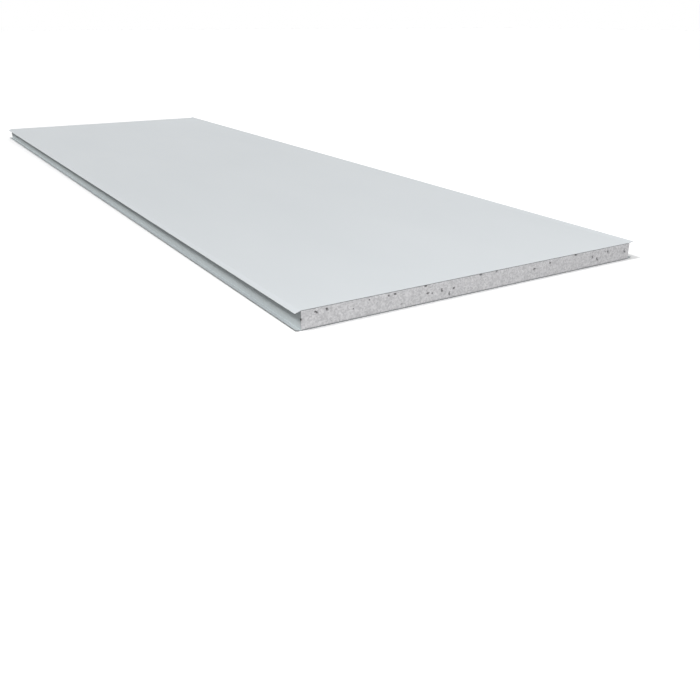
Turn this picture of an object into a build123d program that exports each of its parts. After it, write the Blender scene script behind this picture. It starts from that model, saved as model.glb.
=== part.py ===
from build123d import *
import os

# Sandwich panel: a foam core glued between two thin coated steel skins.
# X is the width, Y the length and Z the thickness. The origin is the middle of the underside.
# All sizes are in millimetres.

# Overall sizes
panel_length = 3600.0
panel_width = 1150.0
panel_thickness = 50.0

# Steel skins
skin_gauge = 0.5
bend_radius = 1.5

# How far each skin runs past the core on the left (-X) and on the right (+X)
left_lip_reach = 16.0
right_lip_reach = 16.0

# Where each lip's tip lies against the flat of its own skin, positive upwards
top_left_lip_rise = -5.0
top_right_lip_rise = 3.0
bottom_left_lip_rise = 4.5
bottom_right_lip_rise = 4.5

# The flat of each skin runs a little past the foam before it bends
bend_start = 1.0

# Foam edges rounded by the hot-wire cut
core_edge_radius = 0.8

left_edge = -panel_width / 2
right_edge = panel_width / 2
core_left = left_edge + left_lip_reach
core_right = right_edge - right_lip_reach
core_bottom = skin_gauge
core_top = panel_thickness - skin_gauge


def extrude_along_panel(section):
    """Run a section in the XZ plane along the whole length, centred on the origin."""
    return extrude(section, amount=panel_length / 2, both=True)


def skin(lower_face, left_rise, right_rise):
    """One roll-formed sheet: the flat over the core and a bent lip on each long side."""
    with BuildSketch(Plane.XZ) as section:
        with BuildLine():
            FilletPolyline(
                (left_edge, lower_face + left_rise),
                (core_left - bend_start, lower_face),
                (core_right + bend_start, lower_face),
                (right_edge, lower_face + right_rise),
                radius=bend_radius,
            )
            offset(amount=skin_gauge, side=Side.LEFT)
        make_face()
        # The strip is slit to the panel's width, so no tip passes it
        Rectangle(panel_width, 3 * panel_thickness, mode=Mode.INTERSECT)
    return extrude_along_panel(section.sketch)


def foam_core():
    """The foam slab, as thick as the room between the skins."""
    core_width = core_right - core_left
    core_height = core_top - core_bottom
    with BuildSketch(Plane.XZ) as section:
        with Locations(((core_left + core_right) / 2, (core_bottom + core_top) / 2)):
            RectangleRounded(core_width, core_height, core_edge_radius)
    return extrude_along_panel(section.sketch)


nodes = {
    "core": foam_core(),
    "top_skin": skin(core_top, top_left_lip_rise, top_right_lip_rise),
    "bottom_skin": skin(0.0, bottom_left_lip_rise, bottom_right_lip_rise),
}

os.makedirs("parts", exist_ok=True)
for name, solid in nodes.items():
    solid.label = name
    export_step(solid, f"parts/{name}.step")
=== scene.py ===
import math
import random

import bmesh
import bpy
from mathutils import Matrix, Vector


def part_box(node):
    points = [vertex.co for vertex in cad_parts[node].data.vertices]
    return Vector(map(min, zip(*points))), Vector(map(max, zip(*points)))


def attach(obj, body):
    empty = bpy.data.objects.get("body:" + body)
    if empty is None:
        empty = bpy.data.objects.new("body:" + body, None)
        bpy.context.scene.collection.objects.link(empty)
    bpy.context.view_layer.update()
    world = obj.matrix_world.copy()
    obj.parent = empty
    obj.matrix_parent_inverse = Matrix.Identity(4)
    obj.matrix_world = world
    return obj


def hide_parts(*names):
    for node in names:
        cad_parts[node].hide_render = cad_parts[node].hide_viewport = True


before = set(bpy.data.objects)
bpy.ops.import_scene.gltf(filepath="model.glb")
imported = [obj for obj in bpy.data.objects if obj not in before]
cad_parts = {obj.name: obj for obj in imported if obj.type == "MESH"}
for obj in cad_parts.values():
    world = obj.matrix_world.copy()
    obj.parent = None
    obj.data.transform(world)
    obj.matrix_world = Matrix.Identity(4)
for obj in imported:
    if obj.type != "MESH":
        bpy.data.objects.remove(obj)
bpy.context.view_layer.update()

# Lengths are in metres. X is the panel's width, Y its length, Z its thickness.
coreLow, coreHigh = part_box("core")
topLow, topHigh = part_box("top_skin")
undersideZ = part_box("bottom_skin")[0].z
panelWidth = topHigh.x - topLow.x
panelLength = topHigh.y - topLow.y
coreWidth = coreHigh.x - coreLow.x
coreHeight = coreHigh.z - coreLow.z
coreMiddle = (coreHigh.z + coreLow.z) / 2
perMetre = 1000   # millimetres
nearly = 0.00001  # points this close count as one


# Helpers for node trees

# Adds a node. Its settings come first, because they decide which sockets it has.
def addNode(tree, kind, inputs=None, **settings):
    node = tree.nodes.new(kind)
    for name, value in settings.items():
        setattr(node, name, value)
    for key, value in (inputs or {}).items():
        if isinstance(value, bpy.types.NodeSocket):
            tree.links.new(value, node.inputs[key])
        else:
            node.inputs[key].default_value = value
    return node


def maths(tree, operation, first, second=0.0):
    return addNode(tree, "ShaderNodeMath", {0: first, 1: second}, operation=operation).outputs[0]


def vectorMaths(tree, operation, first, second):
    node = addNode(tree, "ShaderNodeVectorMath", {0: first, 1: second}, operation=operation)
    return node.outputs["Value" if operation == "DOT_PRODUCT" else "Vector"]


# Turns one span of values into another, each given as a pair
def mapRange(tree, value, given, wanted, kind="LINEAR"):
    inputs = {"Value": value, "From Min": given[0], "From Max": given[1],
              "To Min": wanted[0], "To Max": wanted[1]}
    return addNode(tree, "ShaderNodeMapRange", inputs, interpolation_type=kind).outputs["Result"]


def mixValue(tree, amount, first, second):
    inputs = {"Factor": amount, "A": first, "B": second}
    return addNode(tree, "ShaderNodeMix", inputs, data_type="FLOAT").outputs[0]


def combine(tree, x=0.0, y=0.0, z=0.0):
    return addNode(tree, "ShaderNodeCombineXYZ", {"X": x, "Y": y, "Z": z}).outputs[0]


def split(tree, vector):
    return addNode(tree, "ShaderNodeSeparateXYZ", {0: vector}).outputs


def randomNumber(tree, seed):
    return addNode(tree, "FunctionNodeRandomValue", {"Seed": seed}, data_type="FLOAT").outputs[1]


# A random step of up to one either way in X and in Y
def randomStep(tree, seed):
    inputs = {"Min": (-1, -1, 0), "Max": (1, 1, 0), "Seed": seed}
    return addNode(tree, "FunctionNodeRandomValue", inputs, data_type="FLOAT_VECTOR").outputs[0]


def newGeometryTree(name, sockets):
    tree = bpy.data.node_groups.new(name, "GeometryNodeTree")
    for label, kind in sockets:
        tree.interface.new_socket(label, in_out="INPUT", socket_type="NodeSocket" + kind)
    tree.interface.new_socket("Geometry", in_out="OUTPUT", socket_type="NodeSocketGeometry")
    start = tree.nodes.new("NodeGroupInput")
    end = tree.nodes.new("NodeGroupOutput")
    return tree, start.outputs, end.inputs[0]


# Runs a geometry tree once and keeps its result as a plain mesh
def meshFromTree(name, tree, values):
    holder = bpy.data.objects.new(name + "_build", bpy.data.meshes.new(name + "_build"))
    bpy.context.collection.objects.link(holder)
    modifier = holder.modifiers.new("build", "NODES")
    modifier.node_group = tree
    for item in tree.interface.items_tree:
        if item.in_out == "INPUT" and item.name in values:
            modifier[item.identifier] = values[item.name]
    graph = bpy.context.evaluated_depsgraph_get()
    mesh = bpy.data.meshes.new_from_object(holder.evaluated_get(graph), depsgraph=graph)
    holder.modifiers.remove(modifier)
    bpy.data.objects.remove(holder)
    mesh.name = name
    keepUsedMaterials(mesh)
    return mesh


# Drops the material slots that no face has
def keepUsedMaterials(mesh):
    used = sorted({face.material_index for face in mesh.polygons})
    kept = [mesh.materials[i] for i in used]
    indices = [used.index(face.material_index) for face in mesh.polygons]
    mesh.materials.clear()
    for material in kept:
        mesh.materials.append(material)
    mesh.polygons.foreach_set("material_index", indices)


def placePiece(name, mesh, node):
    piece = bpy.data.objects.new(name, mesh)
    bpy.context.collection.objects.link(piece)
    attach(piece, "root")
    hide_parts(node)
    mesh.calc_loop_triangles()
    print(name, "has", len(mesh.loop_triangles), "triangles and", len(mesh.materials), "finishes")


# Finishes

def newMaterial(name):
    material = bpy.data.materials.new(name)
    material.use_nodes = True
    tree = material.node_tree
    return material, tree, tree.nodes["Principled BSDF"]


# Where a point lies on its piece, so that patterns keep their real size
def placeOnPiece(tree):
    return addNode(tree, "ShaderNodeTexCoord").outputs["Object"]


def scaled(tree, place, scale, turn=(0, 0, 0)):
    inputs = {"Vector": place, "Scale": scale, "Rotation": turn}
    return addNode(tree, "ShaderNodeMapping", inputs).outputs[0]


def noise(tree, place, scale, detail=2.0, roughness=0.5):
    inputs = {"Vector": place, "Scale": scale, "Detail": detail, "Roughness": roughness}
    return addNode(tree, "ShaderNodeTexNoise", inputs).outputs["Fac"]


# Adds two patterns, the first by its share and the second by the rest
def blendTones(tree, first, share, second):
    first = maths(tree, "MULTIPLY", first, share)
    return maths(tree, "ADD", first, maths(tree, "MULTIPLY", second, 1 - share))


# Mixes two colours, of which the first may be another node's result
def shade(tree, amount, first, second):
    if not isinstance(first, bpy.types.NodeSocket):
        first = (*first, 1)
    inputs = {"Factor": amount, "A": first, "B": (*second, 1)}
    return addNode(tree, "ShaderNodeMix", inputs, data_type="RGBA").outputs["Result"]


def bump(tree, height, depth, strength=1.0, under=None):
    inputs = {"Height": height, "Distance": depth, "Strength": strength}
    if under:
        inputs["Normal"] = under
    return addNode(tree, "ShaderNodeBump", inputs).outputs["Normal"]


steelFinish = {
    "paint": {"dark": (0.627, 0.660, 0.681), "light": (0.650, 0.681, 0.701), "roughness": 0.52},
    "backCoat": {"dark": (0.540, 0.585, 0.600), "light": (0.590, 0.630, 0.640), "roughness": 0.55},
    # Near-black edge colours: partly the dark burred cut, partly painted shade of the thin dark line along
    # the cut
    "edge": {"dark": (0.050, 0.052, 0.055), "light": (0.160, 0.163, 0.168), "roughness": (0.35, 0.60),
             "metal": 0.7, "grain": 0.0011, "grainDepth": 0.00004},
    "toneSpan": (0.3, 0.7),             # values of a pattern that lie between dark and light
    "cloudSize": 0.32,                  # slow changes of tone in the paint
    "cloudStretch": (1.0, 0.45, 1.0),   # under 1 is longer, here along the coil
    "cloudShare": 0.75,                 # the rest of the tone is streaks
    "streakSize": (0.017, 1.4, 0.017),  # faint streaks along the coil
    "streakSpan": (0.25, 0.75),
    "roughnessSpread": 0.03,
    "waveSize": 0.42,                   # slow waves left by the roll forming
    "waveStretch": (1.0, 0.5, 1.0),
    "waveDepth": 0.0012,
    "peelSize": 0.0022,                 # orange peel of the oven-cured paint
    "peelDepth": 0.000012,
    "gloss": 0.25,
}


def coatedSteel(name, dark, light, roughness):
    material, tree, shader = newMaterial(name)
    place = placeOnPiece(tree)
    cloudPlace = scaled(tree, place, steelFinish["cloudStretch"])
    cloud = noise(tree, cloudPlace, 1 / steelFinish["cloudSize"], detail=3.0, roughness=0.55)
    streak = noise(tree, scaled(tree, place, [1 / size for size in steelFinish["streakSize"]]), 1.0)
    tone = blendTones(tree, cloud, steelFinish["cloudShare"], streak)
    tone = mapRange(tree, tone, steelFinish["toneSpan"], (0.0, 1.0))
    tree.links.new(shade(tree, tone, dark, light), shader.inputs["Base Color"])
    spread = steelFinish["roughnessSpread"]
    dull = mapRange(tree, streak, steelFinish["streakSpan"], (roughness - spread, roughness + spread))
    tree.links.new(dull, shader.inputs["Roughness"])
    wavePlace = scaled(tree, place, steelFinish["waveStretch"])
    waves = noise(tree, wavePlace, 1 / steelFinish["waveSize"], detail=1.0)
    peel = noise(tree, place, 1 / steelFinish["peelSize"], detail=1.0)
    normal = bump(tree, waves, steelFinish["waveDepth"])
    normal = bump(tree, peel, steelFinish["peelDepth"], under=normal)
    tree.links.new(normal, shader.inputs["Normal"])
    shader.inputs["Specular IOR Level"].default_value = steelFinish["gloss"]
    return material


# Bare steel at the cut edges of a sheet, coloured near black: partly the dark burred cut, partly painted
# shade of the thin dark line along it
def sawnSteel(name, dark, light, roughness, metal, grain, grainDepth):
    material, tree, shader = newMaterial(name)
    tone = noise(tree, placeOnPiece(tree), 1 / grain, detail=3.0, roughness=0.6)
    tree.links.new(shade(tree, tone, dark, light), shader.inputs["Base Color"])
    tree.links.new(mapRange(tree, tone, steelFinish["toneSpan"], roughness), shader.inputs["Roughness"])
    tree.links.new(bump(tree, tone, grainDepth, strength=0.6), shader.inputs["Normal"])
    shader.inputs["Metallic"].default_value = metal
    return material


foamFinish = {
    "cut": {"dark": (0.610, 0.610, 0.622), "light": (0.890, 0.885, 0.901), "beadShare": 0.42},
    # The long sides' bluer, darker colours are painted sky-lit shade on the same foam
    "side": {"dark": (0.600, 0.645, 0.655), "light": (0.730, 0.775, 0.785), "beadShare": 0.4},
    "paintedHoleShade": {"colour": (0.30, 0.30, 0.305), "span": (0.001, 0.0035)},  # painted shade, by depth below the cut
    "toneSpan": (0.22, 0.78),            # values of the cut's pattern that lie between dark and light
    "beadSize": 0.0042,
    "smearSize": 0.024,                  # soft smears across many beads
    "smearStretch": (1.0, 1.0, 1.9),     # over 1 is shorter
    "smearTurn": (0.0, 0.5, 0.0),        # radians
    "pore": 0.00045,                     # the fine cells inside each bead
    "poreDepth": 0.00008,
    "wireMark": (0.0033, 0.33, 0.0033),  # fine lines left by the hot wire
    "wireDepth": 0.0003,
    "creaseSpan": (0.0, 0.14),           # from a bead's outline inwards, in bead sizes
    "creaseDepth": 0.0002,
    "roughness": 0.92,
    "gloss": 0.25,
}


# Cut ends: tone by bead, soft smears, and the fine cells. Little light comes back from deep between beads,
# so there the colour is darkened by depth as painted shade.
def cutFoam(name):
    material, tree, shader = newMaterial(name)
    place = placeOnPiece(tree)
    bead = addNode(tree, "ShaderNodeAttribute", attribute_name="beadTone").outputs["Fac"]
    slanted = scaled(tree, place, foamFinish["smearStretch"], foamFinish["smearTurn"])
    smear = noise(tree, slanted, 1 / foamFinish["smearSize"], detail=3.0, roughness=0.6)
    tone = blendTones(tree, bead, foamFinish["cut"]["beadShare"], smear)
    tone = mapRange(tree, tone, foamFinish["toneSpan"], (0.0, 1.0))
    colour = shade(tree, tone, foamFinish["cut"]["dark"], foamFinish["cut"]["light"])
    # Painted shade: the colour darkens towards a dark grey by depth below the cut plane
    depth = maths(tree, "SUBTRACT", coreHigh.y, maths(tree, "ABSOLUTE", split(tree, place)["Y"]))
    holeShadeAmount = mapRange(tree, depth, foamFinish["paintedHoleShade"]["span"], (0.0, 1.0), "SMOOTHSTEP")
    tree.links.new(shade(tree, holeShadeAmount, colour, foamFinish["paintedHoleShade"]["colour"]), shader.inputs["Base Color"])
    pores = addNode(tree, "ShaderNodeTexVoronoi", {"Vector": place, "Scale": 1 / foamFinish["pore"]})
    normal = bump(tree, pores.outputs["Distance"], foamFinish["poreDepth"], strength=0.5)
    tree.links.new(normal, shader.inputs["Normal"])
    shader.inputs["Roughness"].default_value = foamFinish["roughness"]
    shader.inputs["Specular IOR Level"].default_value = foamFinish["gloss"]
    return material


# Long sides: the same beads, wiped flat by the hot wire. Their colours are a bluer, darker copy of the
# cut's: painted sky-lit shade.
def wireCutFoamPaintedShade(name):
    material, tree, shader = newMaterial(name)
    place = placeOnPiece(tree)
    inputs = {"Vector": place, "Scale": 1 / foamFinish["beadSize"]}
    cells = addNode(tree, "ShaderNodeTexVoronoi", inputs).outputs["Color"]
    edges = addNode(tree, "ShaderNodeTexVoronoi", inputs, feature="DISTANCE_TO_EDGE").outputs["Distance"]
    wire = noise(tree, scaled(tree, place, [1 / size for size in foamFinish["wireMark"]]), 1.0)
    tone = blendTones(tree, split(tree, cells)["X"], foamFinish["side"]["beadShare"], wire)
    # Painted shade: a bluer, darker copy of the cut foam's colour
    colour = shade(tree, tone, foamFinish["side"]["dark"], foamFinish["side"]["light"])
    tree.links.new(colour, shader.inputs["Base Color"])
    crease = mapRange(tree, edges, foamFinish["creaseSpan"], (0.0, 1.0), "SMOOTHSTEP")
    normal = bump(tree, wire, foamFinish["wireDepth"], strength=0.6)
    normal = bump(tree, crease, foamFinish["creaseDepth"], strength=0.8, under=normal)
    tree.links.new(normal, shader.inputs["Normal"])
    shader.inputs["Roughness"].default_value = foamFinish["roughness"]
    shader.inputs["Specular IOR Level"].default_value = foamFinish["gloss"]
    return material


paint = coatedSteel("coatedSteel", **steelFinish["paint"])
backCoat = coatedSteel("backCoat", **steelFinish["backCoat"])
edgePartlyShaded = sawnSteel("steelEdgePartlyShaded", **steelFinish["edge"])
foamEnd = cutFoam("cutFoam")
foamSidePaintedShade = wireCutFoamPaintedShade("wireCutFoamPaintedShade")
print("finishes made")


# Foam core

# Pits and cracks are strokes in a cut end: x and z of the middle and the length in millimetres, the slant
# in degrees, and the bend in millimetres. Beads are lost in a pit, and a crack opens between them.
foamCore = {
    "beadSize": 0.0042,         # across one bead
    "rowShift": 0.25,           # rows move this far left and right by turns, in bead sizes
    "scatter": 0.27,            # how far beads stray from even rows, in bead sizes
    "creaseDepth": 0.00045,     # from the cut plane down to the line between two beads
    "levelSpread": 0.0003,      # how much lower some beads lie than the cut plane
    "tilt": 0.07,               # slope of single beads
    "topShare": 0.84,           # flat top of a bead against its outline
    "rimDepth": 0.0011,         # how deep the cut end's outline lies along the steel
    "gapWidth": 0.0014,         # foam torn away along the steel at the cut
    "gapDepth": 0.003,
    "gapCrumble": 0.0006,
    "gapTone": 0.5,             # from 0 for dark to 1 for light, as every bead has its own
    "missingShare": 0.0012,     # beads missing at random
    "missingDepth": 0.006,
    "missingSpan": (0.5, 1.1),  # how deep single holes are, as shares of that depth
    "missingFloor": 0.7,        # floor of a hole against its outline
    "pitReach": 0.0027,
    "pitStart": 0.6,            # share of the reach that is sunk all the way
    "crackReach": 0.0021,
    "crackStart": 0.7,
    "crackDepth": 0.005,
    "outlineFrom": {"X": 0.499, "Y": 0.49},  # points past these shares of the end's size lie on its outline
    "ends": {
        "front": {
            "seed": 5,
            "pits": [
                (-559, 27, 1, 90, 0), (-489, 40, 3, 110, 0), (-314, 41, 2, 0, 0), (-295, 42, 4, 0, 0),
                (-201, 47, 4, 0, 0), (-194, 25, 3, 0, 0), (-110, 25, 3, 45, 0), (-21, 47, 4, 0, 0),
                (34, 47, 1, 0, 0), (173, 31, 3, 0, 0), (233, 38, 2, 0, 0), (332, 46, 4, 0, 0),
                (404, 29, 5, 110, 0), (467, 36, 4, 90, 0),
            ],
            "cracks": [
                (-519, 39, 8, 145, 1), (-149, 26, 7, 80, 1), (-123, 13, 8, 100, 2), (425, 20, 8, 120, 1),
                (543, 28, 10, 100, 3),
            ],
        },
        "back": {
            "seed": 23,
            "pits": [
                (-480, 22, 3, 80, 0), (-351, 41, 5, 30, 0), (-118, 35, 2, 0, 0), (-40, 10, 5, 60, 0),
                (190, 43, 3, 0, 0), (388, 36, 2, 0, 0), (497, 12, 5, 70, 0),
            ],
            "cracks": [
                (-262, 14, 12, 110, 3), (77, 27, 14, 95, 4), (296, 19, 10, 130, 2), (-60, 38, 9, 30, 1),
                (440, 22, 13, 60, 4),
            ],
        },
    },
}


# The strokes as short lines in the cut plane, so that the tree can find the beads near them
def strokeLines(name, strokes):
    points, lines = [], []
    for x, z, length, slant, bend in strokes:
        along = Vector((math.cos(math.radians(slant)), math.sin(math.radians(slant)), 0))
        across = Vector((-along.y, along.x, 0))
        middle = Vector((x, z - coreMiddle * perMetre, 0))
        for t in (-1.0, -0.5, 0.0, 0.5, 1.0):  # from one tip to the other
            point = middle + along * length * t / 2 + across * bend * (1 - t * t)
            points.append(point / perMetre)
            if t > -1.0:
                lines.append((len(points) - 2, len(points) - 1))
    mesh = bpy.data.meshes.new(name)
    mesh.from_pydata(points, lines, [])
    drawn = bpy.data.objects.new(name, mesh)
    bpy.context.collection.objects.link(drawn)
    return drawn


# Beads are the cells around strewn points: a grid whose every other row is shifted and whose points stray
def strewBeads(tree, given, spot, inside):
    size = given["Bead Size"]
    columns = maths(tree, "ROUND", maths(tree, "DIVIDE", given["Width"], size))
    rowPitch = maths(tree, "MULTIPLY", size, math.sqrt(3) / 2)  # rows of close-packed beads
    rows = maths(tree, "ROUND", maths(tree, "DIVIDE", given["Height"], rowPitch))
    grid = addNode(tree, "GeometryNodeMeshGrid", {
        "Size X": given["Width"], "Size Y": given["Height"],
        "Vertices X": maths(tree, "ADD", columns, 1.0), "Vertices Y": maths(tree, "ADD", rows, 1.0)})
    pitch = maths(tree, "DIVIDE", given["Height"], rows)
    row = maths(tree, "DIVIDE", maths(tree, "ADD", spot["Y"], given["Height"]), pitch)
    oddRow = maths(tree, "MODULO", maths(tree, "ROUND", row), 2.0)
    sideways = mapRange(tree, oddRow, (0.0, 1.0), (-foamCore["rowShift"], foamCore["rowShift"]))
    shift = maths(tree, "MULTIPLY", size, sideways)
    far = maths(tree, "MULTIPLY", size, given["Scatter"])
    stray = vectorMaths(tree, "MULTIPLY", randomStep(tree, given["Seed"]), combine(tree, far, far))
    strewn = addNode(tree, "GeometryNodeSetPosition", {
        "Geometry": grid.outputs["Mesh"], "Selection": inside,
        "Offset": vectorMaths(tree, "ADD", stray, combine(tree, shift))})
    corners = addNode(tree, "GeometryNodeTriangulate", {0: strewn.outputs[0]})
    return addNode(tree, "GeometryNodeDualMesh", {0: corners.outputs[0], "Keep Boundaries": True}).outputs[0]


# Beads stand up from the creases between them, each at its own level and slope, and missing ones sink in
def raiseBeads(tree, given, beads, place):
    missing = randomNumber(tree, maths(tree, "ADD", given["Seed"], 1.0))
    missing = maths(tree, "LESS_THAN", missing, given["Missing Share"])
    level = randomNumber(tree, maths(tree, "ADD", given["Seed"], 2.0))
    slope = randomStep(tree, maths(tree, "ADD", given["Seed"], 3.0))
    facts = (("VECTOR", "middle", place), ("VECTOR", "slope", slope), ("FLOAT", "missing", missing))
    keep = tree.nodes.new("GeometryNodeCaptureAttribute")
    keep.domain = "FACE"
    for kind, label, value in facts:
        keep.capture_items.new(kind, label)
        tree.links.new(value, keep.inputs[label])
    tree.links.new(beads, keep.inputs["Geometry"])
    toned = addNode(tree, "GeometryNodeStoreNamedAttribute", {
        "Geometry": keep.outputs["Geometry"], "Name": "beadTone", "Value": level},
        data_type="FLOAT", domain="FACE")
    up = maths(tree, "MULTIPLY", level, given["Level Spread"])
    up = maths(tree, "SUBTRACT", given["Crease Depth"], up)
    down = mapRange(tree, level, (0.0, 1.0), [-share for share in foamCore["missingSpan"]])
    down = maths(tree, "MULTIPLY", given["Missing Depth"], down)
    raised = addNode(tree, "GeometryNodeExtrudeMesh", {
        "Mesh": toned.outputs[0], "Offset": combine(tree, z=mixValue(tree, missing, up, down)),
        "Offset Scale": 1.0, "Individual": True}, mode="FACES")
    share = mixValue(tree, keep.outputs["missing"], given["Top Share"], foamCore["missingFloor"])
    tops = addNode(tree, "GeometryNodeScaleElements", {
        "Geometry": raised.outputs["Mesh"], "Selection": raised.outputs["Top"], "Scale": share},
        domain="FACE")
    away = vectorMaths(tree, "SUBTRACT", place, keep.outputs["middle"])
    lean = vectorMaths(tree, "DOT_PRODUCT", keep.outputs["slope"], away)
    lean = maths(tree, "MULTIPLY", lean, mixValue(tree, keep.outputs["missing"], given["Tilt"], 0.0))
    return addNode(tree, "GeometryNodeSetPosition", {
        "Geometry": tops.outputs[0], "Selection": raised.outputs["Top"],
        "Offset": combine(tree, z=lean)}).outputs[0]


# Sinks what lies within reach of the strokes, fully inside the start's share of that reach
def sinkNear(tree, mesh, strokes, reach, start, depth):
    lines = addNode(tree, "GeometryNodeObjectInfo", {"Object": strokes}).outputs["Geometry"]
    far = addNode(tree, "GeometryNodeProximity", {0: lines}, target_element="EDGES").outputs["Distance"]
    sinking = (maths(tree, "MULTIPLY", reach, start), reach)
    near = mapRange(tree, far, sinking, (-1.0, 0.0), "SMOOTHSTEP")
    sunk = combine(tree, z=maths(tree, "MULTIPLY", near, depth))
    return addNode(tree, "GeometryNodeSetPosition", {"Geometry": mesh, "Offset": sunk}).outputs[0]


def buildFoamEndTree():
    tree, given, out = newGeometryTree("foamEnd", [
        ("Width", "Float"), ("Height", "Float"), ("Bead Size", "Float"), ("Scatter", "Float"),
        ("Crease Depth", "Float"), ("Level Spread", "Float"), ("Tilt", "Float"), ("Top Share", "Float"),
        ("Rim Depth", "Float"), ("Missing Share", "Float"), ("Missing Depth", "Float"), ("Pits", "Object"),
        ("Pit Reach", "Float"), ("Cracks", "Object"), ("Crack Reach", "Float"), ("Crack Depth", "Float"),
        ("Turn", "Float"), ("Place", "Vector"), ("Seed", "Int"), ("Material", "Material"),
    ])
    place = addNode(tree, "GeometryNodeInputPosition").outputs[0]
    spot = split(tree, place)
    past = {}
    for axis, size in (("X", "Width"), ("Y", "Height")):
        edge = maths(tree, "MULTIPLY", given[size], foamCore["outlineFrom"][axis])
        past[axis] = maths(tree, "GREATER_THAN", maths(tree, "ABSOLUTE", spot[axis]), edge)
    inside = maths(tree, "SUBTRACT", 1.0, maths(tree, "MAXIMUM", past["X"], past["Y"]))

    mesh = strewBeads(tree, given, spot, inside)
    mesh = raiseBeads(tree, given, mesh, place)
    for strokes, reach, start, depth in (
        ("Pits", "Pit Reach", foamCore["pitStart"], "Missing Depth"),
        ("Cracks", "Crack Reach", foamCore["crackStart"], "Crack Depth"),
    ):
        mesh = sinkNear(tree, mesh, given[strokes], given[reach], start, given[depth])

    # The foam has crumbled away a little along the steel, and no bead passes the cut plane
    drop = maths(tree, "SUBTRACT", given["Crease Depth"], given["Rim Depth"])
    rimmed = addNode(tree, "GeometryNodeSetPosition", {
        "Geometry": mesh, "Selection": past["Y"], "Offset": combine(tree, z=drop)})
    height = maths(tree, "MINIMUM", spot["Z"], given["Crease Depth"])
    height = maths(tree, "SUBTRACT", height, given["Crease Depth"])
    planed = addNode(tree, "GeometryNodeSetPosition", {
        "Geometry": rimmed.outputs[0], "Position": combine(tree, spot["X"], spot["Y"], height)})

    # The flat end is stood up and put in place
    stood = addNode(tree, "GeometryNodeTransform", {
        "Geometry": planed.outputs[0], "Translation": given["Place"],
        "Rotation": combine(tree, math.pi / 2, 0.0, given["Turn"])})
    real = addNode(tree, "GeometryNodeRealizeInstances", {0: stood.outputs[0]})
    done = addNode(tree, "GeometryNodeSetMaterial", {0: real.outputs[0], "Material": given["Material"]})
    tree.links.new(done.outputs[0], out)
    return tree


foamEndTree = buildFoamEndTree()


def foamEndMesh(side):
    front = side == "front"
    end = foamCore["ends"][side]
    pits = strokeLines("pits_" + side, end["pits"])
    cracks = strokeLines("cracks_" + side, end["cracks"])
    mesh = meshFromTree("foam_" + side, foamEndTree, {
        "Width": coreWidth, "Height": coreHeight - 2 * foamCore["gapWidth"],
        "Bead Size": foamCore["beadSize"], "Scatter": foamCore["scatter"],
        "Crease Depth": foamCore["creaseDepth"], "Level Spread": foamCore["levelSpread"],
        "Tilt": foamCore["tilt"], "Top Share": foamCore["topShare"], "Rim Depth": foamCore["rimDepth"],
        "Missing Share": foamCore["missingShare"], "Missing Depth": foamCore["missingDepth"],
        "Pits": pits, "Pit Reach": foamCore["pitReach"],
        "Cracks": cracks, "Crack Reach": foamCore["crackReach"], "Crack Depth": foamCore["crackDepth"],
        "Turn": 0.0 if front else math.pi,
        "Place": (0.0, coreLow.y if front else coreHigh.y, coreMiddle),
        "Seed": end["seed"], "Material": foamEnd,
    })
    bpy.data.objects.remove(pits)
    bpy.data.objects.remove(cracks)
    return mesh


# Gathers the points and faces of the foam core as its parts are joined
class CoreMesh:
    def __init__(self):
        self.points = []
        self.faces = []
        self.tones = []
        self.finishes = []

    def addPoint(self, x, y, z):
        self.points.append(Vector((x, y, z)))
        return len(self.points) - 1

    def addFace(self, corners, finish, tone=foamCore["gapTone"]):
        self.faces.append(corners)
        self.finishes.append(finish)
        self.tones.append(tone)

    def toMesh(self, name, materials):
        mesh = bpy.data.meshes.new(name)
        mesh.from_pydata(self.points, [], self.faces)
        for material in materials.values():
            mesh.materials.append(material)
        slots = {finish: i for i, finish in enumerate(materials)}
        mesh.polygons.foreach_set("material_index", [slots[finish] for finish in self.finishes])
        tone = mesh.attributes.new("beadTone", "FLOAT", "FACE")
        tone.data.foreach_set("value", self.tones)
        shell = bmesh.new()
        shell.from_mesh(mesh)
        bmesh.ops.recalc_face_normals(shell, faces=shell.faces)
        shell.to_mesh(mesh)
        shell.free()
        return mesh


# The open edge of a mesh as one loop of point numbers
def rimLoop(mesh):
    uses = {}
    for face in mesh.polygons:
        for key in face.edge_keys:
            uses[key] = uses.get(key, 0) + 1
    beside = {}
    for (a, b), count in uses.items():
        if count == 1:
            beside.setdefault(a, []).append(b)
            beside.setdefault(b, []).append(a)
    loop = [min(beside)]
    while len(loop) < len(beside):
        a, b = beside[loop[-1]]
        loop.append(b if len(loop) > 1 and a == loop[-2] else a)
    return loop


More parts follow.
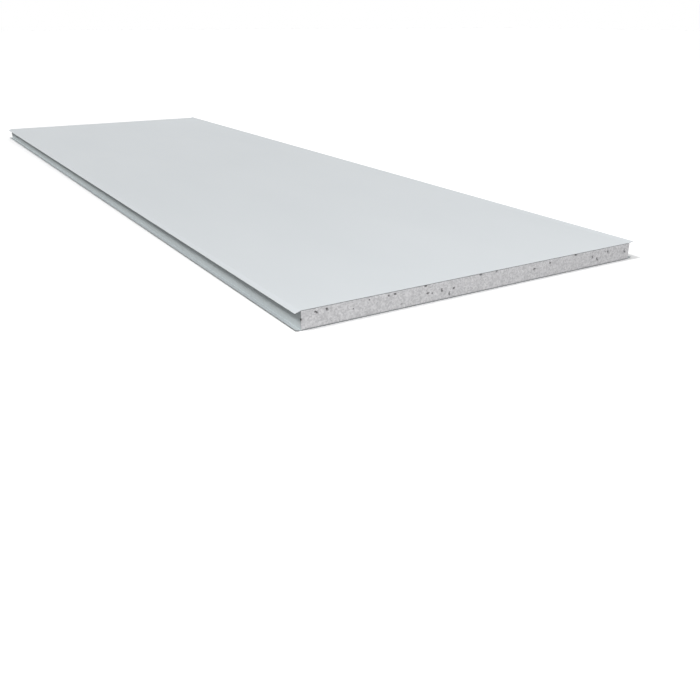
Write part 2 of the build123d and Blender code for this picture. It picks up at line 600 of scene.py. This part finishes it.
# One cut end: the beads, a narrow gap along each steel sheet, and the outline that the long sides start from
def addFoamEnd(shell, side):
    mesh = foamEndMesh(side)
    first = len(shell.points)
    for vertex in mesh.vertices:
        shell.addPoint(*vertex.co)
    for face, tone in zip(mesh.polygons, mesh.attributes["beadTone"].data):
        shell.addFace([first + i for i in face.vertices], "cut", tone.value)
    loop = [first + i for i in rimLoop(mesh)]
    bpy.data.meshes.remove(mesh)

    chance = random.Random(foamCore["ends"][side]["seed"])
    gapDepth = foamCore["gapDepth"]
    gapFloor = coreLow.y + gapDepth if side == "front" else coreHigh.y - gapDepth
    steelRim = coreHeight / 2 - foamCore["gapWidth"]
    onSteel = {i: abs(abs(shell.points[i].z - coreMiddle) - steelRim) < nearly for i in loop}
    inset, outset = {}, {}
    for i in loop:
        x, z = shell.points[i].xz
        inset[i] = shell.addPoint(x, gapFloor, z)
        if onSteel[i]:
            above = z > coreMiddle
            outset[i] = shell.addPoint(x, gapFloor, coreHigh.z if above else coreLow.z)
            crumbled = chance.random() ** 2 * foamCore["gapCrumble"]  # mostly little
            if abs(x) < coreWidth / 2 - nearly:
                shell.points[i].z += -crumbled if above else crumbled
    outline = []
    for a, b in zip(loop, loop[1:] + loop[:1]):
        shell.addFace([a, b, inset[b], inset[a]], "cut")
        if onSteel[a] and onSteel[b] and abs(shell.points[a].z - shell.points[b].z) < coreHeight / 2:
            shell.addFace([inset[a], inset[b], outset[b], outset[a]], "cut")
            outline.append((outset[a], outset[b]))
        else:
            outline.append((inset[a], inset[b]))
            outline += [(inset[i], outset[i]) for i in (a, b) if onSteel[i]]
    print(side, "end of the foam has", len(outline), "outline edges")
    return outline


def buildFoamCore():
    shell = CoreMesh()
    front = addFoamEnd(shell, "front")
    back = addFoamEnd(shell, "back")

    # The two outlines pair up by their place in the section
    def spot(i):
        return (round(shell.points[i].x / nearly), round(shell.points[i].z / nearly))

    behind = {spot(i): i for edge in back for i in edge}
    for a, b in front:
        shell.addFace([a, b, behind[spot(b)], behind[spot(a)]], "side")
    return shell.toMesh("foam_core", {"cut": foamEnd, "side": foamSidePaintedShade})


placePiece("foam_core", buildFoamCore(), "core")
print("foam core made")


# Steel sheets

steelSheets = {
    "gauge": 0.0005,
    "bendRadius": 0.006,
    "bendStart": 0.001,       # flat steel past the foam before the bend
    "bendSteps": 8,
    "waviness": 0.0005,       # how far the free lips wander up and down
    "waveLength": 0.59,
    "lipsApart": 3.0,         # where the two lips lie in the wave pattern, so that each wanders by itself
    "rows": 121,
    "sharpAngle": 25.0,       # degrees, so that bends are smooth and corners sharp
    "top": {"leftRise": -0.005, "rightRise": 0.003, "seed": 3.7},
    "bottom": {"leftRise": 0.0045, "rightRise": 0.0045, "seed": 8.1},
}


# A line through four corners, with the two bends rounded.
# Curve to Mesh turns the section over, so its heights are written downwards.
def sheetSection(tree, given, halfWidth, bend):
    flat = maths(tree, "MULTIPLY", given["Lower Face"], -1.0)
    leftTip = maths(tree, "SUBTRACT", flat, given["Left Rise"])
    rightTip = maths(tree, "SUBTRACT", flat, given["Right Rise"])
    corners = (
        combine(tree, maths(tree, "MULTIPLY", halfWidth, -1.0), leftTip),
        combine(tree, maths(tree, "MULTIPLY", bend, -1.0), flat),
        combine(tree, bend, flat),
        combine(tree, halfWidth, rightTip),
    )
    line = addNode(tree, "GeometryNodeMeshLine", {"Count": len(corners)})
    choice = addNode(tree, "GeometryNodeIndexSwitch", data_type="VECTOR")
    while len(choice.index_switch_items) < len(corners):
        choice.index_switch_items.new()
    tree.links.new(addNode(tree, "GeometryNodeInputIndex").outputs[0], choice.inputs["Index"])
    for k, corner in enumerate(corners):
        tree.links.new(corner, choice.inputs[k + 1])
    bent = addNode(tree, "GeometryNodeSetPosition", {
        "Geometry": line.outputs[0], "Position": choice.outputs[0]})
    curve = addNode(tree, "GeometryNodeMeshToCurve", {0: bent.outputs[0]})
    return addNode(tree, "GeometryNodeFilletCurve", {
        "Curve": curve.outputs[0], "Count": given["Bend Steps"], "Radius": given["Bend Radius"]},
        mode="POLY").outputs[0]


def runSection(tree, given, section):
    reach = maths(tree, "MULTIPLY", given["Length"], 0.5)
    run = addNode(tree, "GeometryNodeCurvePrimitiveLine", {
        "Start": combine(tree, y=maths(tree, "MULTIPLY", reach, -1.0)), "End": combine(tree, y=reach)})
    run = addNode(tree, "GeometryNodeResampleCurve", {"Curve": run.outputs[0], "Count": given["Rows"]})
    return addNode(tree, "GeometryNodeCurveToMesh", {
        "Curve": run.outputs[0], "Profile Curve": section}).outputs[0]


# The free lips wander a little along the length, always towards the floor
def waveLips(tree, given, sheet, spot, halfWidth, bend):
    pastBend = maths(tree, "SUBTRACT", maths(tree, "ABSOLUTE", spot["X"]), bend)
    free = mapRange(tree, pastBend, (0.0, maths(tree, "SUBTRACT", halfWidth, bend)), (0.0, 1.0))
    side = maths(tree, "MULTIPLY", maths(tree, "SIGN", spot["X"]), steelSheets["lipsApart"])
    wander = addNode(tree, "ShaderNodeTexNoise", {
        "Vector": combine(tree, side, spot["Y"], given["Seed"]),
        "Scale": maths(tree, "DIVIDE", 1.0, given["Wave Length"]), "Detail": 1.0}).outputs["Fac"]
    drop = maths(tree, "MULTIPLY", maths(tree, "MULTIPLY", wander, free), given["Waviness"])
    return addNode(tree, "GeometryNodeSetPosition", {
        "Geometry": sheet, "Offset": combine(tree, z=maths(tree, "MULTIPLY", drop, -1.0))}).outputs[0]


def buildSheetTree():
    tree, given, out = newGeometryTree("formedSheet", [
        ("Width", "Float"), ("Length", "Float"), ("Core Width", "Float"), ("Lower Face", "Float"),
        ("Left Rise", "Float"), ("Right Rise", "Float"), ("Bend Start", "Float"), ("Bend Radius", "Float"),
        ("Bend Steps", "Int"), ("Gauge", "Float"), ("Rows", "Int"), ("Waviness", "Float"),
        ("Wave Length", "Float"), ("Seed", "Float"), ("Upper Material", "Material"),
        ("Lower Material", "Material"), ("Edge Material", "Material"),
    ])
    halfWidth = maths(tree, "MULTIPLY", given["Width"], 0.5)
    bend = maths(tree, "ADD", maths(tree, "MULTIPLY", given["Core Width"], 0.5), given["Bend Start"])
    spot = split(tree, addNode(tree, "GeometryNodeInputPosition").outputs[0])
    sheet = runSection(tree, given, sheetSection(tree, given, halfWidth, bend))
    sheet = waveLips(tree, given, sheet, spot, halfWidth, bend)

    # The sheet gets its gauge upwards from its lower face
    thick = addNode(tree, "GeometryNodeExtrudeMesh", {
        "Mesh": sheet, "Offset Scale": given["Gauge"], "Individual": False}, mode="FACES")
    upper = addNode(tree, "GeometryNodeSetMaterial", {
        "Geometry": thick.outputs["Mesh"], "Material": given["Upper Material"]})
    lower = addNode(tree, "GeometryNodeFlipFaces", {0: sheet})
    lower = addNode(tree, "GeometryNodeSetMaterial", {
        "Geometry": lower.outputs[0], "Material": given["Lower Material"]})
    both = addNode(tree, "GeometryNodeJoinGeometry")
    tree.links.new(upper.outputs[0], both.inputs[0])
    tree.links.new(lower.outputs[0], both.inputs[0])
    welded = addNode(tree, "GeometryNodeMergeByDistance", {"Geometry": both.outputs[0], "Distance": nearly})

    # The strip is slit to the panel's width, and its cut edges are bare steel coloured near black: partly
    # the dark burred cut, partly painted shade
    limited = maths(tree, "MAXIMUM", spot["X"], maths(tree, "MULTIPLY", halfWidth, -1.0))
    limited = maths(tree, "MINIMUM", limited, halfWidth)
    slit = addNode(tree, "GeometryNodeSetPosition", {
        "Geometry": welded.outputs[0], "Position": combine(tree, limited, spot["Y"], spot["Z"])})
    real = addNode(tree, "GeometryNodeRealizeInstances", {0: slit.outputs[0]})
    edged = addNode(tree, "GeometryNodeSetMaterial", {
        "Geometry": real.outputs[0], "Selection": thick.outputs["Side"], "Material": given["Edge Material"]})
    tree.links.new(edged.outputs[0], out)
    return tree


sheetTree = buildSheetTree()


def buildSheet(which, lowerFace, upper, lower):
    form = steelSheets[which]
    mesh = meshFromTree(which + "_sheet", sheetTree, {
        "Width": panelWidth, "Length": panelLength, "Core Width": coreWidth, "Lower Face": lowerFace,
        "Left Rise": form["leftRise"], "Right Rise": form["rightRise"],
        "Bend Start": steelSheets["bendStart"], "Bend Radius": steelSheets["bendRadius"],
        "Bend Steps": steelSheets["bendSteps"], "Gauge": steelSheets["gauge"], "Rows": steelSheets["rows"],
        "Waviness": steelSheets["waviness"], "Wave Length": steelSheets["waveLength"], "Seed": form["seed"],
        "Upper Material": upper, "Lower Material": lower, "Edge Material": edgePartlyShaded,
    })
    mesh.polygons.foreach_set("use_smooth", [True] * len(mesh.polygons))
    mesh.set_sharp_from_angle(angle=math.radians(steelSheets["sharpAngle"]))
    return mesh


placePiece("top_sheet", buildSheet("top", coreHigh.z, paint, backCoat), "top_skin")
placePiece("bottom_sheet", buildSheet("bottom", undersideZ, backCoat, paint), "bottom_skin")
print("steel sheets made")


# Studio

studio = {
    "skyLow": 0.16,          # at the horizon
    "skyHigh": 0.58,         # overhead
    "sunStrength": 1.53,
    "sunFrom": (-0.64, 0.25, 1.00),
    "sunSpread": 12.0,       # degrees, for soft shadows
    "lamps": {
        # In front, so that the light falls off along the panel
        "frontLamp": {"power": 66.0, "size": 1.6, "place": (-0.95, -4.8, 1.5), "aim": (0.0, -1.8, 0.0)},
        # Low behind the right side, which the sun doesn't reach
        "fillLamp": {"power": 34.0, "size": 1.8, "place": (3.6, 2.9, 0.55), "aim": (0.6, 0.9, 0.0)},
    },
    "floorColour": (0.16, 0.16, 0.16),
    "floorSeen": (1.20, 1.20, 1.20),
    "floorSize": 80.0,
    "floorGap": 0.0002,
}


# The floor looks white to the camera and in reflections, and lights the panel as a darker one would
def buildFloor():
    half = studio["floorSize"] / 2
    z = undersideZ - studio["floorGap"]
    corners = [(-half, -half, z), (half, -half, z), (half, half, z), (-half, half, z)]
    mesh = bpy.data.meshes.new("floor")
    mesh.from_pydata(corners, [], [(0, 1, 2, 3)])
    floor = bpy.data.objects.new("floor", mesh)
    bpy.context.collection.objects.link(floor)
    material, tree, shader = newMaterial("floor")
    tree.nodes.remove(shader)
    seen = addNode(tree, "ShaderNodeLightPath").outputs
    shown = maths(tree, "MAXIMUM", seen["Is Camera Ray"], seen["Is Glossy Ray"])
    white = addNode(tree, "ShaderNodeBsdfDiffuse", {"Color": (*studio["floorSeen"], 1)})
    plain = addNode(tree, "ShaderNodeBsdfDiffuse", {"Color": (*studio["floorColour"], 1)})
    mix = addNode(tree, "ShaderNodeMixShader", {0: shown, 1: plain.outputs[0], 2: white.outputs[0]})
    tree.links.new(mix.outputs[0], tree.nodes["Material Output"].inputs["Surface"])
    mesh.materials.append(material)


def buildSky():
    world = bpy.data.worlds.new("sky")
    bpy.context.scene.world = world
    world.use_nodes = True
    tree = world.node_tree
    tree.nodes.clear()
    seen = addNode(tree, "ShaderNodeLightPath").outputs
    shown = maths(tree, "MAXIMUM", seen["Is Camera Ray"], seen["Is Glossy Ray"])
    shown = maths(tree, "MAXIMUM", shown, seen["Is Transmission Ray"])
    height = split(tree, addNode(tree, "ShaderNodeTexCoord").outputs["Generated"])["Z"]
    strength = mapRange(tree, height, (0.0, 1.0), (studio["skyLow"], studio["skyHigh"]))
    lit = addNode(tree, "ShaderNodeBackground", {"Color": (1, 1, 1, 1), "Strength": strength})
    white = addNode(tree, "ShaderNodeBackground", {"Color": (1, 1, 1, 1), "Strength": 1.0})
    mix = addNode(tree, "ShaderNodeMixShader", {0: shown, 1: lit.outputs[0], 2: white.outputs[0]})
    addNode(tree, "ShaderNodeOutputWorld", {"Surface": mix.outputs[0]})


def buildSun():
    data = bpy.data.lights.new("sun", "SUN")
    data.energy = studio["sunStrength"]
    data.angle = math.radians(studio["sunSpread"])
    sun = bpy.data.objects.new("sun", data)
    sun.rotation_euler = Vector(studio["sunFrom"]).to_track_quat("Z", "Y").to_euler()
    bpy.context.collection.objects.link(sun)


def buildLamp(name, power, size, place, aim):
    data = bpy.data.lights.new(name, "AREA")
    data.energy = power
    data.size = size
    lamp = bpy.data.objects.new(name, data)
    lamp.location = place
    lamp.rotation_euler = (Vector(place) - Vector(aim)).to_track_quat("Z", "Y").to_euler()
    lamp.visible_camera = False
    lamp.visible_glossy = False  # the sheets mirror the white room and not the lamps
    bpy.context.collection.objects.link(lamp)


buildFloor()
buildSky()
buildSun()
for name, lamp in studio["lamps"].items():
    buildLamp(name, **lamp)
print("studio made")


# Camera

cameraView = {
    "azimuth": -31.869,
    "elevation": 23.372,
    "roll": 0.204,
    "focalPixels": 771.57,
    "picturePixels": 700,
    "place": (-1.3392, -3.2684, 0.6691),
    "clip": (0.05, 200.0),
}


def buildCamera():
    azimuth = math.radians(cameraView["azimuth"])
    elevation = math.radians(cameraView["elevation"])
    roll = math.radians(cameraView["roll"])
    level = Vector((math.sin(azimuth), -math.cos(azimuth), 0))
    back = math.cos(elevation) * level + Vector((0, 0, math.sin(elevation)))
    right = (-back).cross(Vector((0, 0, 1))).normalized()
    up = back.cross(right)
    across = math.cos(roll) * right + math.sin(roll) * up
    upward = math.cos(roll) * up - math.sin(roll) * right
    turn = Matrix((across, upward, back)).transposed()
    data = bpy.data.cameras.new("camera")
    data.lens = cameraView["focalPixels"] / cameraView["picturePixels"] * data.sensor_width
    data.clip_start, data.clip_end = cameraView["clip"]
    camera = bpy.data.objects.new("camera", data)
    camera.matrix_world = Matrix.Translation(cameraView["place"]) @ turn.to_4x4()
    bpy.context.collection.objects.link(camera)
    bpy.context.scene.camera = camera


buildCamera()
bpy.context.scene.view_settings.view_transform = "Standard"
bpy.context.view_layer.update()
print("camera made")
